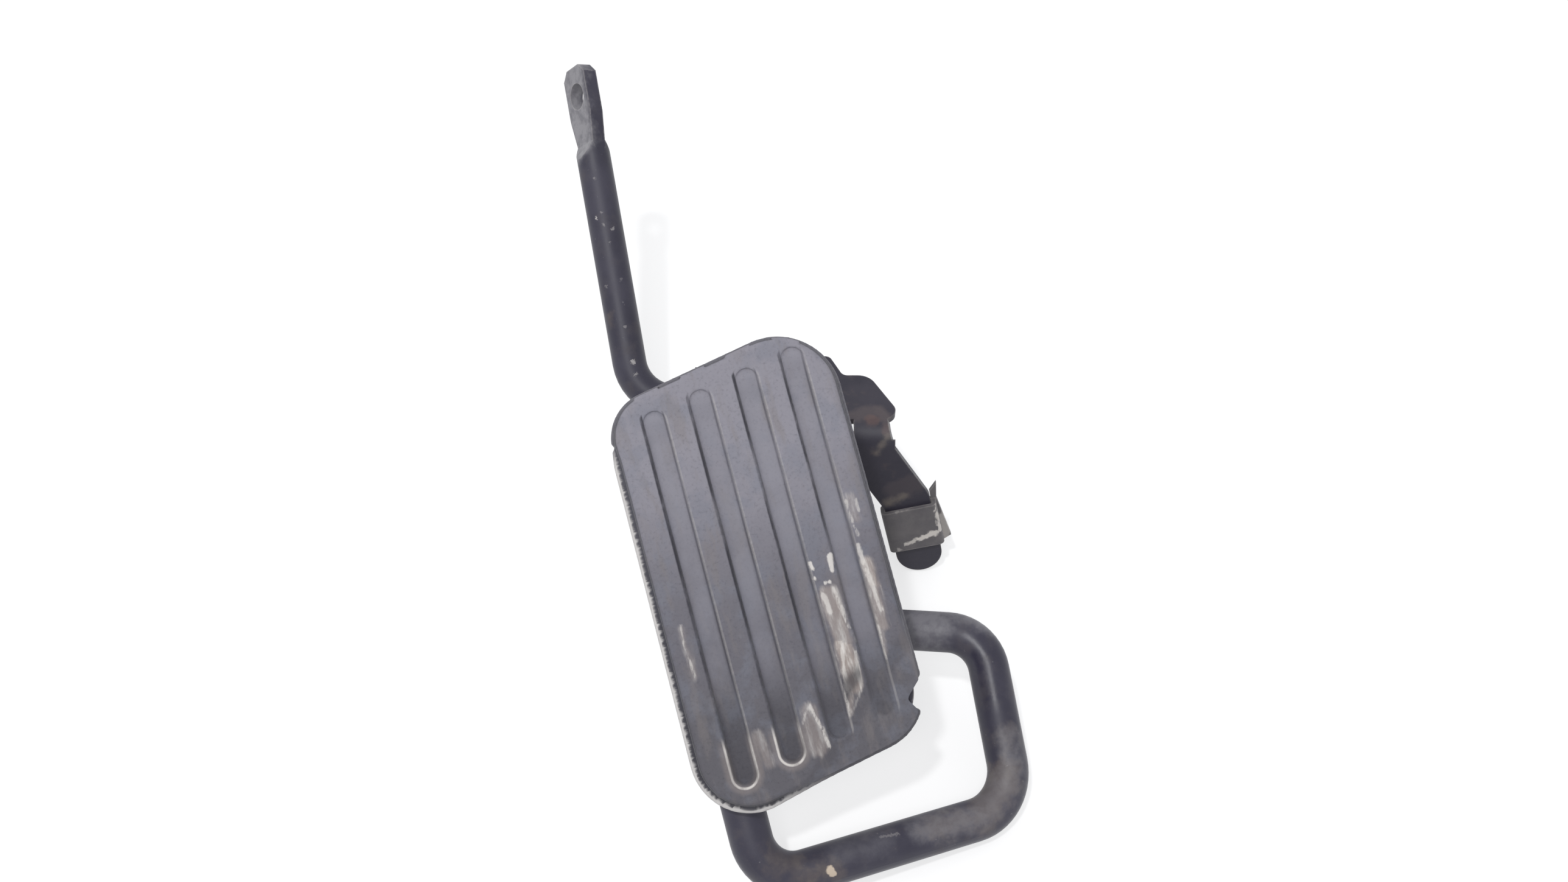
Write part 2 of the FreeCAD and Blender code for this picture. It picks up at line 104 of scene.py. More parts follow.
def between(tree, value, low, high, to_low=0.0, to_high=1.0):
    """Value spread smoothly from its low and high to two new limits."""
    inputs = {
        "Value": value, "From Min": low, "From Max": high,
        "To Min": to_low, "To Max": to_high,
    }
    return add(tree, "ShaderNodeMapRange", inputs, interpolation_type="SMOOTHSTEP").outputs[0]


def clouds(tree, place, scale, detail=4.0):
    """Noise around 0.5, with a scale in cells to the metre."""
    inputs = {"Vector": place, "Scale": scale, "Detail": detail, "Roughness": 0.6}
    return add(tree, "ShaderNodeTexNoise", inputs).outputs["Fac"]


def effect_group(name, inputs, outputs):
    """Empty node group; its sockets inside are returned."""
    tree = bpy.data.node_groups.new(name, "ShaderNodeTree")
    for label, kind in inputs.items():
        tree.interface.new_socket(label, in_out="INPUT", socket_type="NodeSocket" + kind)
    for label in outputs:
        tree.interface.new_socket(label, in_out="OUTPUT", socket_type="NodeSocketFloat")
    return tree, tree.nodes.new("NodeGroupInput").outputs, tree.nodes.new("NodeGroupOutput").inputs


def blotches():
    """Irregular patches: a broad cloud broken up by fine grain, cut off at a threshold."""
    inputs = {"Place": "Vector", "Scale": "Float", "Threshold": "Float", "Softness": "Float"}
    tree, given, result = effect_group("blotches", inputs, ["Mask"])
    cloud = clouds(tree, given["Place"], given["Scale"], 6.0)
    high = calc(tree, "ADD", given["Threshold"], given["Softness"])
    feed(tree, result["Mask"], between(tree, cloud, given["Threshold"], high))
    return tree


def worn_edges():
    """Sharp edges of a piece, ragged like paint rubbed off its corners."""
    inputs = {"Place": "Vector", "Width": "Float", "Grain": "Float"}
    tree, given, result = effect_group("worn edges", inputs, ["Mask"])
    rounded = add(tree, "ShaderNodeBevel", {"Radius": given["Width"]}, samples=4).outputs[0]
    flat = add(tree, "ShaderNodeNewGeometry").outputs["Normal"]
    turned = calc(tree, "SUBTRACT", 1.0, vector_calc(tree, "DOT_PRODUCT", rounded, flat, "Value"))
    grain = between(tree, clouds(tree, given["Place"], given["Grain"], 3.0), 0.35, 0.65, 0.2, 1.6)
    feed(tree, result["Mask"], between(tree, calc(tree, "MULTIPLY", turned, grain), 0.02, 0.14))
    return tree


def rubbed_line():
    """Soft-edged band along a straight line; a spot where start and end are the same."""
    inputs = {
        "Place": "Vector", "Start": "Vector", "End": "Vector",
        "Width": "Float", "Softness": "Float",
    }
    tree, given, result = effect_group("rubbed line", inputs, ["Mask"])
    run = vector_calc(tree, "SUBTRACT", given["End"], given["Start"])
    reached = vector_calc(tree, "SUBTRACT", given["Place"], given["Start"])
    covered = vector_calc(tree, "DOT_PRODUCT", reached, run, "Value")
    whole = vector_calc(tree, "DOT_PRODUCT", run, run, "Value")
    share = calc(tree, "DIVIDE", covered, whole, clamp=True)
    inputs = {0: run, "Scale": share}
    nearest = add(tree, "ShaderNodeVectorMath", inputs, operation="SCALE").outputs[0]
    distance = vector_calc(tree, "DISTANCE", reached, nearest, "Value")
    inside = calc(tree, "SUBTRACT", given["Width"], distance)
    outer = calc(tree, "MULTIPLY", given["Softness"], -0.5)
    inner = calc(tree, "MULTIPLY", given["Softness"], 0.5)
    feed(tree, result["Mask"], between(tree, inside, outer, inner))
    return tree


BLOTCHES, WORN_EDGES, RUBBED_LINE = blotches(), worn_edges(), rubbed_line()


def effect(tree, group, **inputs):
    """Places a node group with its own values; its outputs are returned."""
    made = tree.nodes.new("ShaderNodeGroup")
    made.node_tree = group
    for name, value in inputs.items():
        feed(tree, made.inputs[name], value)
    return made.outputs


def patches(tree, place, scale, threshold, softness):
    """Mask of blotches; the higher the threshold, the fewer there are."""
    cut = {"Threshold": threshold, "Softness": softness}
    return effect(tree, BLOTCHES, Place=place, Scale=scale, **cut)[0]


def marked(tree, place, marks, softness, ragged, grain):
    """The strongest of several marks, with edges that wander by ragged metres."""
    strongest = 0.0
    wander = calc(tree, "SUBTRACT", clouds(tree, place, grain, 3.0), 0.5)
    for start, end, width, strength in marks:
        reach = calc(tree, "MULTIPLY_ADD", wander, ragged, width)
        line = {"Start": start, "End": end, "Width": reach, "Softness": softness}
        band = effect(tree, RUBBED_LINE, Place=place, **line)[0]
        strongest = calc(tree, "MAXIMUM", strongest, calc(tree, "MULTIPLY", band, strength))
    return strongest


def new_material(name, **shader_values):
    """Material with its tree, its Principled shader and the object's own coordinates."""
    material = bpy.data.materials.new(name)
    material.use_nodes = True
    tree = material.node_tree
    shader = tree.nodes["Principled BSDF"]
    for label, value in shader_values.items():
        shader.inputs[label.replace("_", " ")].default_value = value
    place = tree.nodes.new("ShaderNodeTexCoord").outputs["Object"]
    return material, tree, shader, place


def finish_surface(tree, shader, colour, roughness, height, depth):
    """Connects a surface: its colour, its roughness and a bump of the given depth in metres."""
    bump = add(tree, "ShaderNodeBump", {"Height": height, "Distance": depth, "Strength": 1.0})
    feed(tree, shader.inputs["Base Color"], colour)
    feed(tree, shader.inputs["Roughness"], roughness)
    feed(tree, shader.inputs["Normal"], bump.outputs[0])


def finish_node(name, material):
    """Gives a solid of the frame its finish in every material slot."""
    for slot in nodes[name].material_slots:
        slot.material = material


def spot(place, radius, strength=1.0):
    """Round mark: its start and its end are one place, and its half width is a radius."""
    return place, place, radius, strength


lever_chips = [
    spot((-0.0377, 0.0547, 0.0652), 0.0004, 0.3),
    spot((-0.0373, 0.0462, 0.0573), 0.0004, 0.9),
    spot((-0.0357, 0.0471, 0.0586), 0.0003, 0.3),
    spot((-0.0350, 0.0446, 0.0564), 0.0004, 0.35),
    spot((-0.0324, 0.0440, 0.0551), 0.0005, 0.45),
    spot((-0.0334, 0.0405, 0.0528), 0.0003, 0.25),
    spot((-0.0343, 0.0313, 0.0441), 0.0004, 0.25),
    spot((-0.0299, 0.0328, 0.0455), 0.0004, 0.2),
    spot((-0.0287, 0.0220, 0.0367), 0.0004, 0.35),
    spot((-0.0264, 0.0143, 0.0299), 0.0007, 0.8),
    spot((-0.0257, 0.0115, 0.0276), 0.0005, 0.45),
    ((0.0400, -0.1245, 0.0133), (0.0440, -0.1236, 0.0128), 0.0003, 0.25),
]
lever_flakes = [
    ((0.0279, -0.1327, 0.0138), (0.0286, -0.1333, 0.0132), 0.0009, 1.0),
]
lever_stains = [
    spot((-0.0335, 0.0247, 0.0377), 0.0010, 0.6),
    spot((0.0708, -0.1015, 0.0171), 0.0030, 0.4),
    ((0.0700, -0.1090, 0.0120), (0.0645, -0.1166, 0.0104), 0.0045, 0.8),
    ((0.0620, -0.1180, 0.0104), (0.0520, -0.1210, 0.0118), 0.0025, 0.65),
    ((0.0193, -0.1324, 0.0162), (0.0150, -0.1320, 0.0185), 0.0030, 0.4),
    ((0.0230, -0.1340, 0.0140), (0.0290, -0.1320, 0.0130), 0.0018, 0.6),
]
lever_polish = [
    ((0.0640, -0.0800, 0.0295), (0.0684, -0.0925, 0.0226), 0.0035, 1.0),
    ((0.0300, -0.1280, 0.0130), (0.0480, -0.1230, 0.0121), 0.0030, 0.4),
]
# Films of dust and painted light: on the flat of the eye, along the top of the loop and round its
# bends.
lever_dust_and_light = [
    ((-0.0464, 0.0802, 0.0827), (-0.0438, 0.0658, 0.0707), 0.0062, 0.95),
    ((0.0450, -0.0785, 0.0275), (0.0535, -0.0768, 0.0285), 0.0056, 0.50),
    ((0.0595, -0.0730, 0.0290), (0.0660, -0.0755, 0.0280), 0.0036, 0.45),
    ((0.0718, -0.1020, 0.0170), (0.0735, -0.1070, 0.0135), 0.0032, 0.30),
    ((0.0712, -0.1100, 0.0120), (0.0652, -0.1170, 0.0103), 0.0042, 0.26),
    ((0.0640, -0.1180, 0.0105), (0.0500, -0.1215, 0.0122), 0.0036, 0.34),
    ((0.0400, -0.1250, 0.0130), (0.0303, -0.1288, 0.0145), 0.0030, 0.16),
]


def aged_paint(name, chips=(), stains=(), polish=(), dust_and_light_films=(), flakes=()):
    """Old black paint, clouded, dusty and rubbed off its edges, with the marks that it is given."""
    material, tree, shader, place = new_material(
        name, Specular_IOR_Level=0.5, Sheen_Weight=0.3, Sheen_Roughness=0.35
    )
    cloud = patches(tree, place, 55.0, 0.34, 0.34)
    dust = patches(tree, place, 160.0, 0.5, 0.25)
    specks = patches(tree, place, 700.0, 0.68, 0.05)
    edges = effect(tree, WORN_EDGES, Place=place, Width=0.0007, Grain=800.0)[0]
    grain = clouds(tree, place, 1500.0)
    chipped = marked(tree, place, chips, 0.0003, 0.0022, 2000.0)
    bare = calc(tree, "MAXIMUM", chipped, calc(tree, "MULTIPLY", edges, 0.6))
    stain = marked(tree, place, stains, 0.004, 0.010, 260.0)
    smooth = marked(tree, place, polish, 0.005, 0.004, 260.0)
    flake = marked(tree, place, flakes, 0.0004, 0.0010, 900.0)
    uneven = between(tree, clouds(tree, place, 420.0), 0.3, 0.62, 0.6, 1.1)
    # Film of dust and painted light, uneven in strength.
    dust_and_light = calc(tree, "MULTIPLY", marked(tree, place, dust_and_light_films, 0.004, 0.005, 260.0), uneven)
    dusty = calc(tree, "MULTIPLY", dust, calc(tree, "ADD", stain, 0.4))
    colour = laid_over(tree, black_paint, dull_paint, cloud)
    colour = laid_over(tree, colour, brown_stain, stain)
    colour = laid_over(tree, colour, road_dust_and_highlight, dusty, 0.35)
    colour = laid_over(tree, colour, dust_and_painted_light, dust_and_light)
    colour = laid_over(tree, colour, bare_primer, specks, 0.2)
    colour = laid_over(tree, colour, bare_primer, bare)
    colour = laid_over(tree, colour, loose_flake, flake)
    dry = between(tree, calc(tree, "ADD", cloud, dust), 0.0, 2.0, 0.5, 0.68)
    roughness = calc(tree, "SUBTRACT", dry, calc(tree, "MULTIPLY", smooth, 0.2))
    height = calc(tree, "SUBTRACT", calc(tree, "MULTIPLY", grain, 0.3), bare)
    finish_surface(tree, shader, colour, roughness, height, 0.00008)
    return material


lever_paint = aged_paint(
    "lever paint", lever_chips, lever_stains, lever_polish, lever_dust_and_light, lever_flakes
)
finish_node("pedal_rod", lever_paint)


# Pad plate: 2 mm pressed steel behind the rubber, welded to the lever's last leg and painted
# black with it, so it has the lever's paint without the marks of its wear.

finish_node("pad_plate", aged_paint("plate paint"))


# Weld beads: four fillets of weld metal laid by hand along the lever's last leg, two on each side,
# to hold the plate. Each is a row of overlapping drops, which gives it the ripple of the torch.

pad_rise = radians(35.9)
pad_splay = radians(15.0)
pad_roll = radians(-8.5)
face_above_plate = 0.0065
pad_up = Vector((-sin(pad_splay), cos(pad_splay) * cos(pad_rise), cos(pad_splay) * sin(pad_rise)))
level_normal = (Vector((0, 0, 1)) - pad_up * pad_up.z).normalized()
pad_normal = Matrix.Rotation(pad_roll, 3, pad_up) @ level_normal
pad_right = pad_up.cross(pad_normal)
plate_low, plate_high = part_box("pad_plate")
face_centre = (plate_low + plate_high) / 2 + pad_normal * face_above_plate


def on_pad(across, along, above):
    """Point of the pad: across to the right and along it from its middle, above its face."""
    return face_centre + pad_right * across + pad_up * along + pad_normal * above


def apply_modifiers(piece):
    """Makes what the modifiers do part of the mesh."""
    bpy.context.view_layer.objects.active = piece
    for modifier in list(piece.modifiers):
        bpy.ops.object.modifier_apply(modifier=modifier.name)


def remeshed(piece, voxel, smoothing):
    """Closed, evenly fine skin over a piece, with its edges softened."""
    skin = piece.modifiers.new("skin", "REMESH")
    skin.mode = "VOXEL"
    skin.voxel_size = voxel
    soften = piece.modifiers.new("soften", "SMOOTH")
    soften.factor = 0.5
    soften.iterations = smoothing
    apply_modifiers(piece)
    for polygon in piece.data.polygons:
        polygon.use_smooth = True


rod_across = -0.0191
plate_back = -0.0078
bead_length = 0.016
bead_gap = 0.014
bead_low = -0.039
bead_reach = 0.0038
bead_wander = 0.00025
bead_sink = 0.0007
bead_voxel = 0.0003
drop_count = 11
drop_radius = 0.0021
drop_squash = 0.8
drop_swing = 2.3


def weld_bead(name, side, low):
    """Bead beside the lever's leg, left of it for side -1, from its low end up along the pad."""
    drops = []
    for step in range(drop_count):
        along = low + bead_length * (step + 0.5) / drop_count
        wander = bead_wander * sin(step * drop_swing + side)
        across = rod_across + side * (bead_reach + wander)
        place = on_pad(across, along, plate_back - bead_sink)
        bpy.ops.mesh.primitive_uv_sphere_add(
            segments=20, ring_count=10, radius=drop_radius, location=place
        )
        drop = bpy.context.object
        drop.scale = (1.0, drop_squash, 1.0)
        drop.rotation_euler = pad_up.to_track_quat("Y", "Z").to_euler()
        drops.append(drop)
    bpy.ops.object.select_all(action="DESELECT")
    for drop in drops:
        drop.select_set(True)
    bpy.context.view_layer.objects.active = drops[0]
    bpy.ops.object.join()
    bead = bpy.context.object
    bead.name = name
    bpy.ops.object.transform_apply(location=True, rotation=True, scale=True)
    remeshed(bead, bead_voxel, 1)
    bpy.ops.object.select_all(action="DESELECT")
    return bead


bead_paint = aged_paint("weld bead paint")
beads = []
for side, hand in ((-1, "left"), (1, "right")):
    for low, level in ((bead_low, "lower"), (bead_low + bead_length + bead_gap, "upper")):
        bead = weld_bead("weld_bead_" + level + "_" + hand, side, low)
        bead.data.materials.append(bead_paint)
        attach(bead, "pedal")
        beads.append(bead)
for bead in beads:
    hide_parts("pad_welds")


# Rubber cover: moulded black rubber snapped over the plate, with four lengthwise grooves in its
# tread. Soles have ground the lower right smooth, rubbed the lands pale and curled the left lip
# out; pale dust lies in the grooves, and grime with painted shade lines their walls. The tread is
# coloured darker towards its foot, with painted highlight on the grooves' right walls and rims,
# painted light on the curled lip, and painted shade on the ledge and the rim of the tread.

cover_voxel = 0.0005
skirt_level = -0.0034
ledge_height = 0.0003
tread_foot = (skirt_level + 0.0004, skirt_level + 0.0010)

groove_count = 4
groove_first = -0.01625
groove_pitch = 0.0113
groove_half = 0.0026
groove_low = -0.042
groove_high = 0.0435
groove_slant = tan(radians(10.7))
run_out_rise = 0.72
run_out_margin = 0.0004
run_out_ends = (groove_high - 0.0075, groove_high - 0.0006)

ground_level = -0.0019
ground_across = 0.0043
ground_along = -0.0415
ground_slope = 0.89
ground_blend = (-0.0022, 0.0042)

wave_height = 0.00010
waves_per_metre = 160
ripple_height = 0.00004
ripples_per_metre = 700
nick_across = -0.0272
nick_along = 0.0354
nick_depth = 0.0006
nick_spread = (0.0004, 0.0014)
lip_curl = 0.0006
lip_right_end = (-0.016, 0.004)
lip_upper_end = (0.030, 0.0365)
rim_tuck = 0.00035
left_rim = (0.0225, 0.0240)
lower_rim = (0.0450, 0.0465)


def smooth_step(low, high, value):
    """0 up to low, 1 from high on, and a smooth rise between."""
    share = min(max((value - low) / (high - low), 0.0), 1.0)
    return share * share * (3 - 2 * share)


def ground_down(across, along):
    """How far the lower right of the tread is ground down to the floor of the grooves."""
    border = ground_along + ground_slope * (across - ground_across)
    return smooth_step(*ground_blend, border - along)


def run_out(across, along):
    """How far the floor of a groove has risen towards the tread at its upper end."""
    offset = across - groove_first
    number = round(offset / groove_pitch)
    side = offset - number * groove_pitch
    level = along - (across - side) * groove_slant
    if not 0 <= number < groove_count or abs(side) >= groove_half + run_out_margin:
        return 0.0
    return run_out_rise * smooth_step(*run_out_ends, level)


def rubber_waves(point):
    """Slow waves and fine ripples in old rubber, none of them above its moulded face."""
    waves = wave_height * (noise.noise(point * waves_per_metre) - 1)
    return waves + ripple_height * (noise.noise(point * ripples_per_metre) - 1)


def at_left_lip(across, along):
    """1 where the lip has curled out: along its left edge and round the lower corner."""
    return (1 - smooth_step(*lip_right_end, across)) * (1 - smooth_step(*lip_upper_end, along))


def curled(across, along, above):
    """How far the outer wall moves out: the lip under the tread curls out, the rim draws in."""
    if above <= skirt_level + ledge_height:
        return lip_curl * at_left_lip(across, along)
    at_rim = max(smooth_step(*left_rim, -across), smooth_step(*lower_rim, -along))
    return -rim_tuck * at_rim * at_left_lip(across, along)


def in_pad(point):
    """Place of a point across, along and above the face of the pad."""
    offset = point - face_centre
    return offset.dot(pad_right), offset.dot(pad_up), offset.dot(pad_normal)


def merged_copy(name):
    """Copy of a solid of the frame in one closed mesh, free of the frame's own data."""
    piece = nodes[name].copy()
    piece.data = nodes[name].data.copy()
    for label in list(piece.keys()):
        del piece[label]
    piece.parent = None
    bpy.context.scene.collection.objects.link(piece)
    skin = bmesh.new()
    skin.from_mesh(piece.data)
    bmesh.ops.remove_doubles(skin, verts=skin.verts, dist=0.00001)
    skin.to_mesh(piece.data)
    skin.free()
    piece.data.materials.clear()
    return piece


def wear_tread(cover):
    """Grinds the tread down and gives the rubber its waves, its nicked edge and its curled lip."""
    normals = [vertex.normal.copy() for vertex in cover.data.vertices]
    for vertex, normal in zip(cover.data.vertices, normals):
        across, along, above = in_pad(vertex.co)
        on_tread = smooth_step(*tread_foot, above)
        ground = (ground_level - above) * ground_down(across, along)
        sunk = ground - above * run_out(across, along)
        vertex.co += pad_normal * (rubber_waves(vertex.co) + sunk) * on_tread
        from_nick = abs(along - nick_along) + abs(across - nick_across)
        vertex.co += pad_right * nick_depth * (1 - smooth_step(*nick_spread, from_nick))
        sideways = normal - pad_normal * normal.dot(pad_normal)
        if sideways.dot(vertex.co - face_centre) > 0:
            vertex.co += sideways * curled(across, along, above)


def reached_by(marks, point):
    """How deep inside the nearest mark the point lies, in metres, and that mark's strength."""
    deepest, felt = -1.0, 0.0
    for start, end, half_width, strength in marks:
        run = end - start
        share = min(max((point - start).dot(run) / run.length_squared, 0.0), 1.0)
        depth = half_width - (point - start - run * share).length
        if depth > deepest:
            deepest, felt = depth, strength
    return deepest, felt


def store_marks(cover, name, marks):
    """Stores, point by point, how deep inside the marks the cover lies and how strong they are."""
    lines = [(Vector(start), Vector(end), width, strength) for start, end, width, strength in marks]
    found = [reached_by(lines, Vector(in_pad(vertex.co)[:2])) for vertex in cover.data.vertices]
    for label, values in zip((name + " depth", name + " strength"), zip(*found)):
        layer = cover.data.attributes.new(label, "FLOAT", "POINT")
        layer.data.foreach_set("value", values)


rubber_cover = merged_copy("pad_cover")
rubber_cover.name = "rubber_cover"
remeshed(rubber_cover, cover_voxel, 2)
wear_tread(rubber_cover)

# Marks of soles: start and end, each across and along the pad from its middle, half width, strength
rubbed_bands = [
    ((0.0222, 0.0105), (0.0224, 0.0055), 0.0010, 0.35),
    ((0.0118, -0.0092), (0.0124, -0.0200), 0.0021, 0.62),
    ((0.0122, -0.0200), (0.0121, -0.0300), 0.0020, 0.95),
    ((0.0112, -0.0305), (0.0097, -0.0360), 0.0008, 0.70),
    ((0.0221, -0.0045), (0.0223, -0.0100), 0.0013, 0.85),
    ((0.0222, -0.0100), (0.0218, -0.0190), 0.0013, 0.60),
    ((0.0213, -0.0190), (0.0207, -0.0250), 0.0006, 0.45),
    ((-0.0112, -0.0350), (-0.0104, -0.0415), 0.0012, 0.38),
    ((0.0010, -0.0330), (0.0012, -0.0410), 0.0020, 0.42),
    ((-0.0218, -0.0080), (-0.0214, -0.0190), 0.0006, 0.30),
]
bright_rubs = [
    ((0.0096, -0.0014), (0.0099, -0.0028), 0.00045, 1.0),
    ((0.0145, -0.0008), (0.0141, -0.0042), 0.00050, 1.0),
    ((0.0097, -0.0049), (0.0098, -0.0050), 0.00040, 0.9),
    ((0.0119, -0.0065), (0.0129, -0.0066), 0.00035, 0.9),
    ((0.0133, -0.0082), (0.0143, -0.0175), 0.00035, 0.7),
    ((0.0107, -0.0090), (0.0113, -0.0130), 0.00060, 0.7),
    ((0.0116, -0.0215), (0.0102, -0.0310), 0.00035, 0.7),
    ((0.0101, -0.0310), (0.0092, -0.0368), 0.00030, 0.9),
    ((0.0142, -0.0230), (0.0137, -0.0310), 0.00030, 0.5),
    ((0.0134, -0.0316), (0.0100, -0.0362), 0.00025, 0.4),
    ((0.0212, 0.0100), (0.0213, 0.0050), 0.00032, 0.55),
    ((0.0215, 0.0042), (0.0219, 0.0018), 0.00028, 0.50),
    ((0.0232, 0.0098), (0.0234, 0.0072), 0.00032, 0.50),
    ((0.0212, -0.0002), (0.0213, -0.0045), 0.00045, 0.75),
    ((0.0215, -0.0060), (0.0223, -0.0155), 0.00045, 0.7),
    ((0.0209, -0.0185), (0.0204, -0.0262), 0.00025, 0.7),
    ((0.0200, 0.0135), (0.0201, 0.0133), 0.00030, 0.7),
    ((-0.0216, -0.0072), (-0.0220, -0.0105), 0.00020, 0.5),
    ((-0.0220, -0.0105), (-0.0214, -0.0190), 0.00020, 0.6),
    ((0.0013, -0.0316), (0.0028, -0.0370), 0.00030, 0.8),
    ((0.0028, -0.0370), (0.0033, -0.0415), 0.00035, 0.8),
    ((0.0011, -0.0318), (-0.0012, -0.0350), 0.00022, 0.5),
]
store_marks(rubber_cover, "band", rubbed_bands)
store_marks(rubber_cover, "rub", bright_rubs)


def groove_outline():
    """Distance outside the nearest groove's outline, and how far right of its middle line."""
    tree, given, result = effect_group("groove outline", {"Place": "Vector"}, ["Distance", "Side"])
    pad = add(tree, "ShaderNodeSeparateXYZ", {0: given["Place"]}).outputs
    offset = calc(tree, "SUBTRACT", pad["X"], groove_first)
    side = calc(tree, "WRAP", offset, groove_pitch / 2, -groove_pitch / 2)
    middle = calc(tree, "SUBTRACT", pad["X"], side)
    level = calc(tree, "SUBTRACT", pad["Y"], calc(tree, "MULTIPLY", middle, groove_slant))
    below = calc(tree, "SUBTRACT", groove_low + groove_half, level)
    beyond = calc(tree, "SUBTRACT", level, groove_high - groove_half)
    past_end = calc(tree, "MAXIMUM", calc(tree, "MAXIMUM", below, beyond), 0.0)
    square = calc(tree, "MULTIPLY_ADD", side, side, calc(tree, "MULTIPLY", past_end, past_end))
    distance = calc(tree, "SUBTRACT", calc(tree, "SQRT", square), groove_half)
    right_of_row = calc(tree, "SUBTRACT", offset, (groove_count - 1) / 2 * groove_pitch)
    from_row = calc(tree, "ABSOLUTE", right_of_row)
    off_the_row = calc(tree, "GREATER_THAN", from_row, groove_count / 2 * groove_pitch)
    feed(tree, result["Distance"], calc(tree, "ADD", distance, off_the_row))
    feed(tree, result["Side"], side)
    return tree


GROOVE_OUTLINE = groove_outline()

tread_dark = (0.088, 0.084, 0.098, 1)
tread_middle = (0.116, 0.111, 0.131, 1)
tread_top_tone = (0.228, 0.220, 0.254, 1)
pale_dust = (0.238, 0.235, 0.272, 1)
# Near black: grime, and painted shade along the groove walls and the rim of the tread.
grime_and_painted_shade = (0.022, 0.021, 0.030, 1)
# Pale of rubbed rubber, also used for the painted highlight on groove walls and rims.
rubbed_pale_and_highlight = (0.62, 0.59, 0.56, 1)
rubbed_brown = (0.285, 0.240, 0.220, 1)
blue_bloom = (0.150, 0.160, 0.200, 1)
warm_bloom = (0.175, 0.155, 0.152, 1)
# Painted light on the lip down the left side and round the lower corner.
skirt_painted_light = (0.58, 0.56, 0.55, 1)
streak_stretch = 0.22


def stored_marks(tree, name, grain, ragged, softness):
    """Mask of the marks stored on the cover, with an outline made ragged by the grain."""
    depth = add(tree, "ShaderNodeAttribute", attribute_name=name + " depth").outputs["Fac"]
    strength = add(tree, "ShaderNodeAttribute", attribute_name=name + " strength").outputs["Fac"]
    wander = calc(tree, "MULTIPLY_ADD", calc(tree, "SUBTRACT", grain, 0.5), ragged, depth)
    return calc(tree, "MULTIPLY", between(tree, wander, -softness / 2, softness / 2), strength)


def fading(tree, value, full, none):
    """1 up to the full value, fading to 0 at none."""
    return between(tree, value, full, none, 1.0, 0.0)


def near(tree, value, middle, full, none):
    """1 where the value lies within full of its middle, 0 further off than none."""
    distance = calc(tree, "ABSOLUTE", calc(tree, "SUBTRACT", value, middle))
    return fading(tree, distance, full, none)


def all_of(tree, first, *others):
    """Where all the masks are 1."""
    for other in others:
        first = calc(tree, "MULTIPLY", first, other)
    return first


def pad_pattern(tree, place):
    """All that the rubber's marks are drawn with: places on the pad, its grooves and grains."""
    offset = vector_calc(tree, "SUBTRACT", place, tuple(face_centre))
    across, along, above = [
        vector_calc(tree, "DOT_PRODUCT", offset, tuple(direction), "Value")
        for direction in (pad_right, pad_up, pad_normal)
    ]
    flat = add(tree, "ShaderNodeCombineXYZ", {0: across, 1: along}).outputs[0]
    drawn_out = vector_calc(tree, "MULTIPLY", flat, (1.0, streak_stretch, 1.0))
    groove = effect(tree, GROOVE_OUTLINE, Place=flat)
    on_tread = between(tree, above, skirt_level, skirt_level + 0.0006)
    return SimpleNamespace(
        place=place, across=across, along=along, above=above,
        drawn_out=drawn_out, outline=groove["Distance"], side=groove["Side"],
        on_tread=on_tread,
        by_groove=all_of(tree, fading(tree, groove["Distance"], 0.0006, 0.0011), on_tread),
        cloud=clouds(tree, place, 60.0),
        fine=clouds(tree, place, 1500.0),
        streaks=clouds(tree, drawn_out, 620.0),
        patchy=between(tree, clouds(tree, drawn_out, 330.0), 0.35, 0.6, 0.35, 1.0),
    )


def tread_darker_at_foot(tree, pad):
    """Rubber that is darker at the foot of the pad and lighter at its top, with bloom and dirt."""
    level = calc(tree, "MULTIPLY_ADD", pad.cloud, 0.022, calc(tree, "ADD", pad.along, -0.011))
    colour = laid_over(tree, tread_dark, tread_middle, between(tree, level, -0.038, -0.012))
    colour = laid_over(tree, colour, tread_top_tone, between(tree, level, -0.012, 0.030))
    blue = patches(tree, pad.place, 150.0, 0.46, 0.2)
    warm = patches(tree, pad.drawn_out, 210.0, 0.5, 0.16)
    colour = laid_over(tree, colour, blue_bloom, blue, 0.4)
    colour = laid_over(tree, colour, warm_bloom, warm, 0.4)
    return laid_over(tree, colour, grime_and_painted_shade, between(tree, pad.fine, 0.5, 0.75), 0.22)


def groove_dust_and_shade(tree, pad, colour):
    """Dust on the floors of the grooves, darker at their lower ends, and grime with painted shade
    along their walls.
    """
    inside = fading(tree, pad.outline, -0.0009, 0.0001)
    dusty = between(tree, pad.cloud, 0.3, 0.65, 0.3, 0.9)
    settled = all_of(tree, inside, between(tree, pad.along, -0.033, -0.012), dusty)
    # Darker towards the lower ends of the grooves.
    lower_end = all_of(tree, inside, fading(tree, pad.along, -0.036, -0.020))
    # Painted shade with grime along the left wall of each groove, thinner at the foot of the right
    # wall.
    left_wall = near(tree, pad.side, -groove_half + 0.0001, 0.0002, 0.0005)
    right_wall = near(tree, pad.side, groove_half, 0.00006, 0.0003)
    walls = calc(tree, "MULTIPLY_ADD", right_wall, 0.5, left_wall)
    rubbed_below = between(tree, pad.across, -0.003, 0.019, -0.021, 0.010)
    past_rubbed = calc(tree, "SUBTRACT", pad.along, rubbed_below)
    kept = between(tree, past_rubbed, -0.008, 0.003, 0.25, 1.0)
    wall_shade_and_grime = all_of(tree, walls, pad.patchy, pad.by_groove, kept)
    colour = laid_over(tree, colour, pale_dust, settled, 0.6)
    colour = laid_over(tree, colour, grime_and_painted_shade, lower_end, 0.4)
    return laid_over(tree, colour, grime_and_painted_shade, wall_shade_and_grime, 0.92)


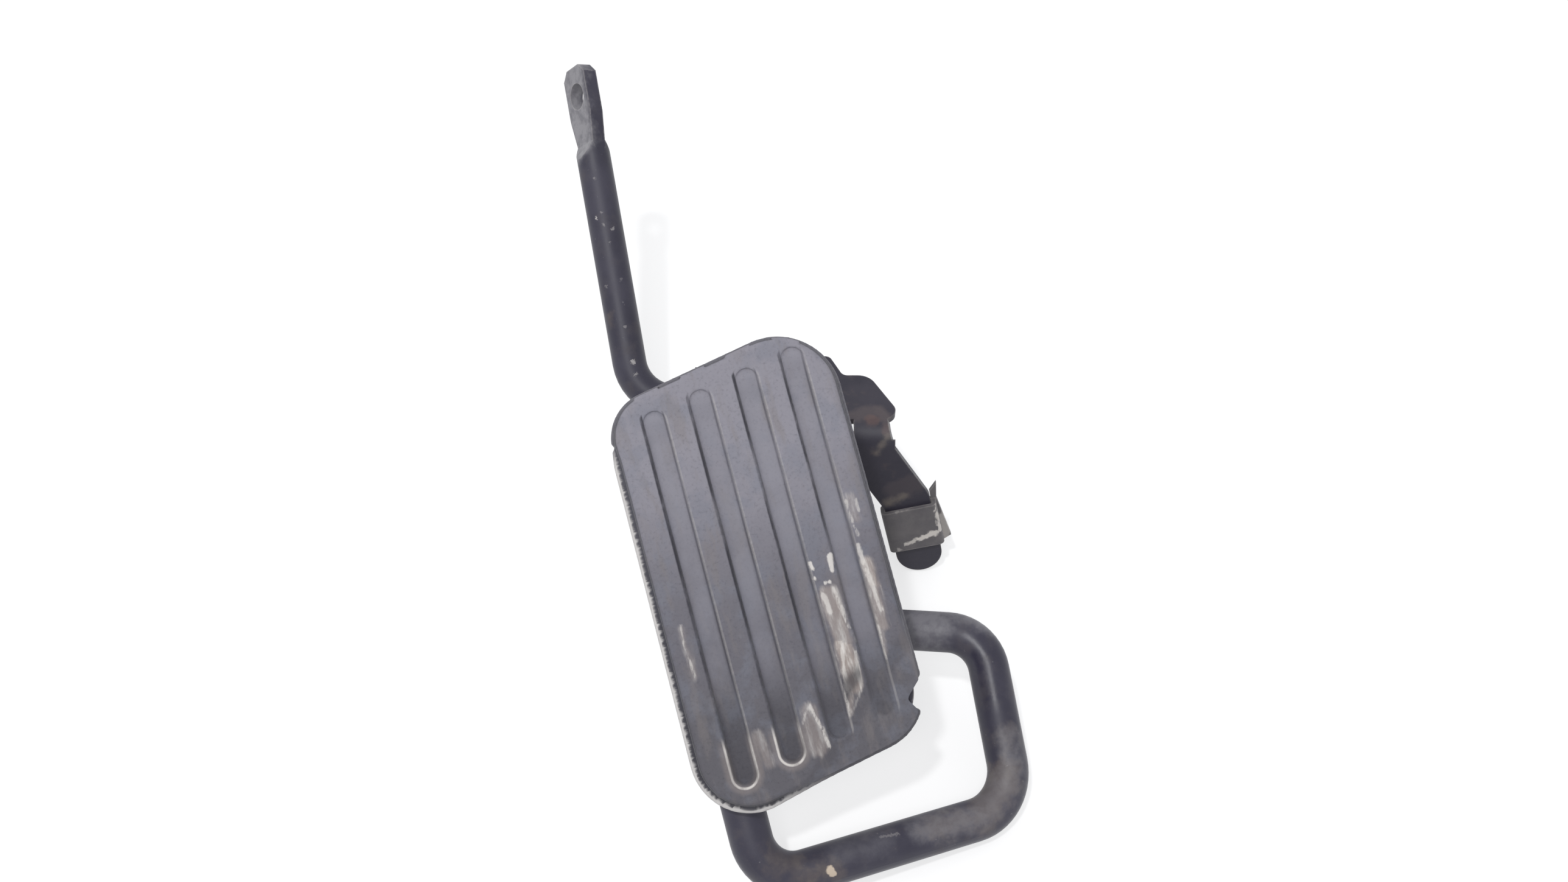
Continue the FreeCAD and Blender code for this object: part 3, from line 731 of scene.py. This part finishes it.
def rubs_and_highlights(tree, pad, colour):
    """Pale bands and scratches, bright worn rims with painted highlight at the feet of the two left
    grooves, and painted highlight on each groove's right wall.
    """
    left_two = fading(tree, pad.across, 0.0, 0.002)
    foot = all_of(tree, fading(tree, pad.along, -0.037, -0.033), left_two, pad.on_tread)
    # Rims at the feet of the two left grooves: worn edges with painted highlight.
    rims = all_of(tree, near(tree, pad.outline, 0.0003, 0.0001, 0.0004), foot, pad.patchy)
    glow = all_of(tree, near(tree, pad.outline, 0.0006, 0.0003, 0.0016), foot)
    # Painted highlight on the right wall of each groove, the wall that faces the lamps.
    right_edge = near(tree, pad.side, groove_half + 0.0005, 0.0001, 0.0004)
    painted_wall_highlight = all_of(tree, right_edge, pad.patchy, pad.by_groove)
    on_top = between(tree, pad.above, -0.0018, -0.0009)
    scratchy = clouds(tree, pad.drawn_out, 1500.0)
    bands = all_of(tree, stored_marks(tree, "band", pad.streaks, 0.0024, 0.0014), on_top)
    rubs = all_of(tree, stored_marks(tree, "rub", scratchy, 0.0014, 0.0004), on_top)
    streaky = between(tree, pad.streaks, 0.42, 0.72)
    band_colour = laid_over(tree, rubbed_brown, rubbed_pale_and_highlight, streaky)
    colour = laid_over(tree, colour, rubbed_pale_and_highlight, painted_wall_highlight, 0.22)
    colour = laid_over(tree, colour, rubbed_brown, glow, 0.3)
    colour = laid_over(tree, colour, band_colour, bands)
    colour = laid_over(tree, colour, rubbed_pale_and_highlight, calc(tree, "MAXIMUM", rims, rubs), 0.85)
    return colour, calc(tree, "MAXIMUM", bands, rubs)


def painted_light_and_shade_on_lip(tree, pad, colour):
    """Painted shade on the ledge under the tread, painted light where the lip has curled out, and
    painted shade along the rim.
    """
    # Painted shade under the tread, on the ledge and the walls below it.
    ledge = fading(tree, pad.above, skirt_level + 0.0001, skirt_level + 0.0004)
    lower_wall = between(tree, pad.above, skirt_level - 0.0030, skirt_level - 0.0012, 0.3, 1.0)
    down_left = fading(tree, pad.across, -0.016, 0.006)
    below_top = fading(tree, pad.along, 0.030, 0.037)
    painted_lip_light = all_of(tree, ledge, lower_wall, down_left, below_top)
    ground_foot = ground_along - ground_slope * ground_across
    border = calc(tree, "MULTIPLY_ADD", pad.across, ground_slope, ground_foot)
    unground = between(tree, calc(tree, "SUBTRACT", pad.along, border), 0.002, 0.005)
    clear_of_groove = between(tree, pad.outline, 0.0006, 0.0010)
    # Painted shade on the rim of the tread, outside the grooves and the ground-down corner.
    side_wall = near(tree, pad.above, skirt_level + 0.0015, 0.0011, 0.0015)
    painted_rim_shade = all_of(tree, side_wall, clear_of_groove, unground)
    colour = laid_over(tree, colour, tread_dark, ledge, 0.7)
    colour = laid_over(tree, colour, skirt_painted_light, painted_lip_light, 0.95)
    return laid_over(tree, colour, grime_and_painted_shade, painted_rim_shade, 0.75)


def aged_rubber():
    """Rubber in four coats, from its tread, darker towards the foot, to the painted light and shade
    on its lip.
    """
    material, tree, shader, place = new_material(
        "aged rubber", Specular_IOR_Level=0.4, Sheen_Weight=0.15
    )
    pad = pad_pattern(tree, place)
    colour = tread_darker_at_foot(tree, pad)
    colour = groove_dust_and_shade(tree, pad, colour)
    colour, worn = rubs_and_highlights(tree, pad, colour)
    colour = painted_light_and_shade_on_lip(tree, pad, colour)
    roughness = between(tree, calc(tree, "SUBTRACT", pad.fine, worn), -0.6, 0.8, 0.42, 0.72)
    scratched = calc(tree, "MULTIPLY", worn, pad.streaks)
    height = calc(tree, "MULTIPLY_ADD", scratched, 1.2, calc(tree, "MULTIPLY", pad.fine, 0.5))
    finish_surface(tree, shader, colour, roughness, height, 0.0001)
    return material


rubber_cover.data.materials.append(aged_rubber())
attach(rubber_cover, "pedal")
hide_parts("pad_cover")


# Bracket: one blank of 2 mm sheet, folded into base, ears, stop flange and prop leg, dipped in
# thin black paint. Brown rust has come through where the flange is bent down into the leg, with a
# painted highlight on that bend; dust lies on the leg above the sleeve, and a painted highlight
# on its crease.

bracket_black = (0.020, 0.018, 0.031, 1)
bracket_dull = (0.038, 0.034, 0.048, 1)
# Brown of rust, also used for the painted highlight on the bend.
rust_and_highlight_brown = (0.088, 0.070, 0.073, 1)
rust_red = (0.110, 0.066, 0.060, 1)
cut_edge = (0.24, 0.22, 0.21, 1)

# Rust with a painted highlight on the bend from flange to leg, and rust on the leg.
rust_and_highlight_arc = [
    ((0.0365, -0.0215, 0.0455), (0.0425, -0.0200, 0.0455), 0.0022, 0.6),
    ((0.0425, -0.0200, 0.0455), (0.0462, -0.0245, 0.0448), 0.0016, 0.7),
    ((0.0520, -0.0330, 0.0300), (0.0480, -0.0335, 0.0280), 0.0035, 0.35),
]
red_spots = [
    spot((0.0444, -0.0258, 0.0448), 0.0012, 0.45),
    spot((0.0406, -0.0232, 0.0455), 0.0018, 0.6),
]
# Dust on the leg above the sleeve, and a painted highlight on the crease below the flange.
leg_dust_and_highlight = [
    ((0.0500, -0.0331, 0.0258), (0.0455, -0.0337, 0.0235), 0.0010, 0.7),
    ((0.0448, -0.0275, 0.0437), (0.0418, -0.0292, 0.0395), 0.0005, 0.7),
]


def rusty_paint():
    """Thin black paint with an arc of rust and painted highlight, spots of rust, dust and a painted
    highlight on the leg, and bare cut edges.
    """
    material, tree, shader, place = new_material(
        "rusty bracket paint", Specular_IOR_Level=0.5, Sheen_Weight=0.25, Sheen_Roughness=0.35
    )
    cloud = patches(tree, place, 70.0, 0.35, 0.35)
    rust = patches(tree, place, 120.0, 0.57, 0.14)
    flakes = patches(tree, place, 450.0, 0.55, 0.12)
    edges = effect(tree, WORN_EDGES, Place=place, Width=0.0006, Grain=600.0)[0]
    grain = clouds(tree, place, 1200.0)
    arc_rust_and_highlight = marked(tree, place, rust_and_highlight_arc, 0.0022, 0.004, 300.0)
    red = marked(tree, place, red_spots, 0.0016, 0.003, 400.0)
    # Dust on the leg, and a painted highlight on its crease.
    dusty = marked(tree, place, leg_dust_and_highlight, 0.0022, 0.0026, 500.0)
    # Rust, with the painted highlight of the arc.
    rusty = calc(tree, "MAXIMUM", arc_rust_and_highlight, calc(tree, "MULTIPLY", rust, 0.55))
    colour = laid_over(tree, bracket_black, bracket_dull, cloud)
    colour = laid_over(tree, colour, rust_and_highlight_brown, rusty)
    colour = laid_over(tree, colour, rust_red, red)
    colour = laid_over(tree, colour, road_dust_and_highlight, dusty)
    colour = laid_over(tree, colour, cut_edge, edges, 0.35)
    roughness = between(tree, calc(tree, "ADD", cloud, rust), 0.0, 1.6, 0.48, 0.78)
    height = calc(tree, "MULTIPLY_ADD", rust, flakes, calc(tree, "MULTIPLY", grain, 0.35))
    finish_surface(tree, shader, colour, roughness, height, 0.0001)
    return material


finish_node("mounting_bracket", rusty_paint())


# Bushes: split sleeves of moulded nylon pressed into the ears, greyed by old grease and road dirt
# that has settled round the lever.

nylon = (0.42, 0.40, 0.35, 1)
old_grease = (0.07, 0.06, 0.05, 1)


def greasy_nylon():
    """Pale nylon with smears of old grease, which shine where they are thick."""
    material, tree, shader, place = new_material("greasy nylon", Specular_IOR_Level=0.4)
    smear = patches(tree, place, 220.0, 0.4, 0.25)
    colour = laid_over(tree, nylon, old_grease, smear, 0.8)
    wet = between(tree, smear, 0.0, 1.0, 0.5, 0.3)
    finish_surface(tree, shader, colour, wet, clouds(tree, place, 1600.0), 0.00004)
    return material


bush_finish = greasy_nylon()
finish_node("pivot_bush_left", bush_finish)
finish_node("pivot_bush_right", bush_finish)


# Sleeve: a strip of tough fibre sheet folded tight round the leg, where the lever would rattle on
# bare steel. Its brown-grey skin is rubbed white along the lower edge and the right-hand fold.

fibre = (0.106, 0.099, 0.106, 1)
fibre_pale = (0.148, 0.138, 0.142, 1)
fibre_rubbed = (0.66, 0.62, 0.58, 1)

sleeve_rubs = [
    ((0.0592, -0.0368, 0.0150), (0.0545, -0.0374, 0.0128), 0.0008, 1.0),
    ((0.0545, -0.0374, 0.0128), (0.0510, -0.0378, 0.0108), 0.0004, 0.8),
    ((0.0603, -0.0363, 0.0158), (0.0590, -0.0345, 0.0235), 0.0008, 0.9),
    ((0.0480, -0.0350, 0.0215), (0.0530, -0.0345, 0.0235), 0.0003, 0.25),
    spot((0.0493, -0.0382, 0.0090), 0.0005, 0.5),
    ((0.0616, -0.0336, 0.0105), (0.0612, -0.0328, 0.0170), 0.0018, 0.42),
]


def worn_fibre():
    """Clouded fibre with rubbed edges and the white scuffs along the folds."""
    material, tree, shader, place = new_material(
        "worn fibre", Specular_IOR_Level=0.4, Sheen_Weight=0.15
    )
    cloud = patches(tree, place, 150.0, 0.38, 0.3)
    edges = effect(tree, WORN_EDGES, Place=place, Width=0.0005, Grain=500.0)[0]
    rubbed = marked(tree, place, sleeve_rubs, 0.0006, 0.0026, 600.0)
    colour = laid_over(tree, fibre, fibre_pale, cloud)
    colour = laid_over(tree, colour, fibre_rubbed, edges, 0.25)
    colour = laid_over(tree, colour, fibre_rubbed, rubbed)
    dry = between(tree, cloud, 0.0, 1.0, 0.5, 0.65)
    finish_surface(tree, shader, colour, dry, clouds(tree, place, 1300.0), 0.00006)
    return material


finish_node("buffer_sleeve", worn_fibre())


# Studio: a pale floor under plain light. A small lamp high behind the camera, a little to the
# left, lays the lever's shadow on the floor, and the air and a wide lamp fill it in. A third lamp,
# lower down behind the camera, puts the glint on the loop.

floor_white = (0.44, 0.44, 0.445, 1)
floor_lift = 0.605
floor_size = 6.0
air_colour = (0.97, 0.98, 1.0, 1)
air_strength = 0.68
object_middle = Vector((0.015, -0.03, 0.03))


def pale_floor():
    """Matt white, which eyes, mirrors and glass see lighter than the lamps leave it."""
    material, tree, shader = new_material("studio floor", Roughness=0.9, Specular_IOR_Level=0.0)[:3]
    feed(tree, shader.inputs["Base Color"], floor_white)
    ray = add(tree, "ShaderNodeLightPath").outputs
    seen = calc(tree, "ADD", ray["Is Camera Ray"], ray["Is Glossy Ray"], clamp=True)
    seen = calc(tree, "ADD", seen, ray["Is Transmission Ray"], clamp=True)
    lift = add(tree, "ShaderNodeEmission", {"Strength": calc(tree, "MULTIPLY", seen, floor_lift)})
    lifted = add(tree, "ShaderNodeAddShader", {0: shader.outputs[0], 1: lift.outputs[0]})
    feed(tree, tree.nodes["Material Output"].inputs["Surface"], lifted.outputs[0])
    return material


bpy.ops.mesh.primitive_plane_add(size=floor_size, location=(0, 0, 0))
floor = bpy.context.object
floor.name = "studio_floor"
floor.data.materials.append(pale_floor())

world = bpy.data.worlds.new("studio air")
bpy.context.scene.world = world
world.use_nodes = True
air = world.node_tree.nodes["Background"].inputs
air["Color"].default_value = air_colour
air["Strength"].default_value = air_strength


def lamp(name, place, size, power):
    """Square lamp of so many metres and watts that faces the middle of the object."""
    bpy.ops.object.light_add(type="AREA", location=place)
    made = bpy.context.object
    made.name = name
    made.data.size = size
    made.data.energy = power
    made.rotation_euler = (object_middle - Vector(place)).to_track_quat("-Z", "Y").to_euler()


lamp("window_lamp", (-0.24, -0.45, 1.26), size=0.07, power=5.6)
lamp("fill_lamp", (-1.1, 0.6, 1.2), size=1.2, power=3.0)
lamp("glint_lamp", (-0.07, -0.57, 0.78), size=0.2, power=1.4)


# Camera: it looks steeply down over the pedal from the driver's side. The lens has the photo's
# focal length in pixels, scaled to the width of the sensor.

photo_width = 2576
focal_pixels = 2200
sensor_width = 36
camera_place = (0.0175, -0.2634, 0.304)
camera_tilt = radians(42)

bpy.ops.object.camera_add(location=camera_place, rotation=(camera_tilt, 0, 0))
camera = bpy.context.object
camera.name = "camera"
camera.data.sensor_fit = "HORIZONTAL"
camera.data.sensor_width = sensor_width
camera.data.lens = sensor_width * focal_pixels / photo_width
camera.data.clip_start = 0.01
bpy.context.scene.camera = camera
bpy.context.scene.view_settings.view_transform = "Standard"
